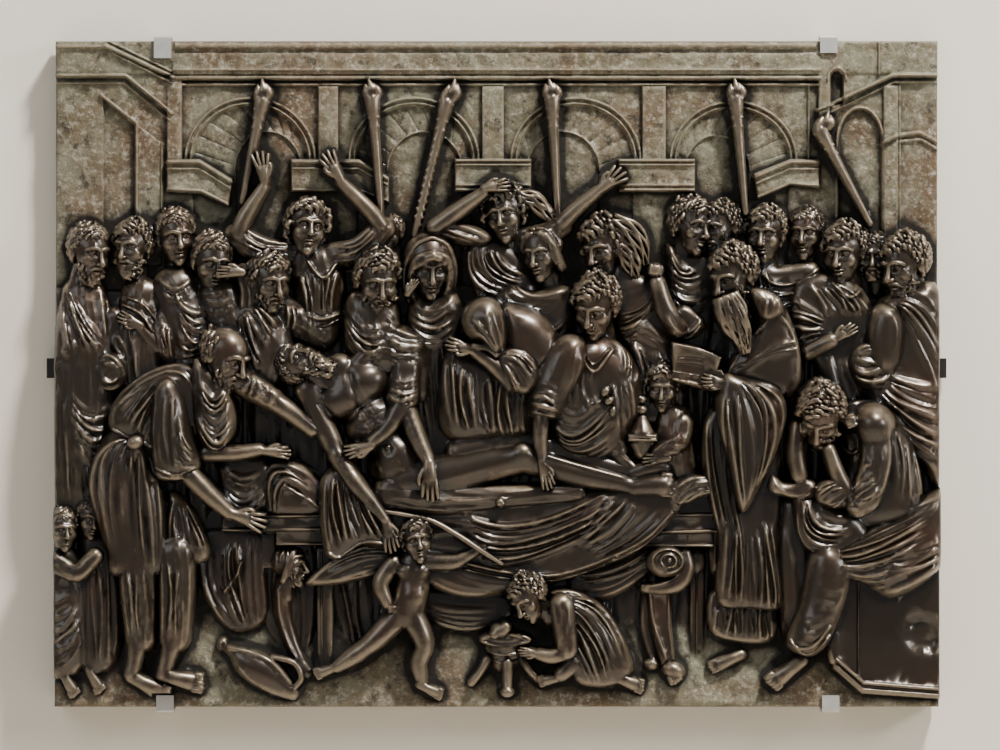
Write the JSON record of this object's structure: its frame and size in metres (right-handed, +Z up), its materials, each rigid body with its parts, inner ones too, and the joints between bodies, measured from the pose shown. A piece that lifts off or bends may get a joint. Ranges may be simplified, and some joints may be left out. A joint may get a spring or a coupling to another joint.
{
  "type": "relief plaque",
  "caption": "Rectangular cast bronze relief plaque of mourners round a bier under torch-lit arches, held flat on a wall by bent edge clips.",
  "frame": {"origin": "middle of the flat back of the panel, on the wall plane", "axes": "+X along the panel's width to the viewer's right, +Z up, +Y into the wall, so the relief faces -Y"},
  "size_m": [0.5008, 0.0575, 0.3752],
  "materials": {
    "bronze": "cast bronze, dark brown patina with worn golden-brown high points and green-grey recesses",
    "clip_metal": "thin steel strip, light grey, slightly dull and scuffed",
    "pin_metal": "dark painted metal block"
  },
  "bodies": {
    "root": {"relief_panel": "bronze", "clip_top_left": "clip_metal", "clip_top_right": "clip_metal", "clip_bottom_left": "clip_metal", "clip_bottom_right": "clip_metal", "side_pin_left": "pin_metal", "side_pin_right": "pin_metal"}
  },
  "joints": []
}
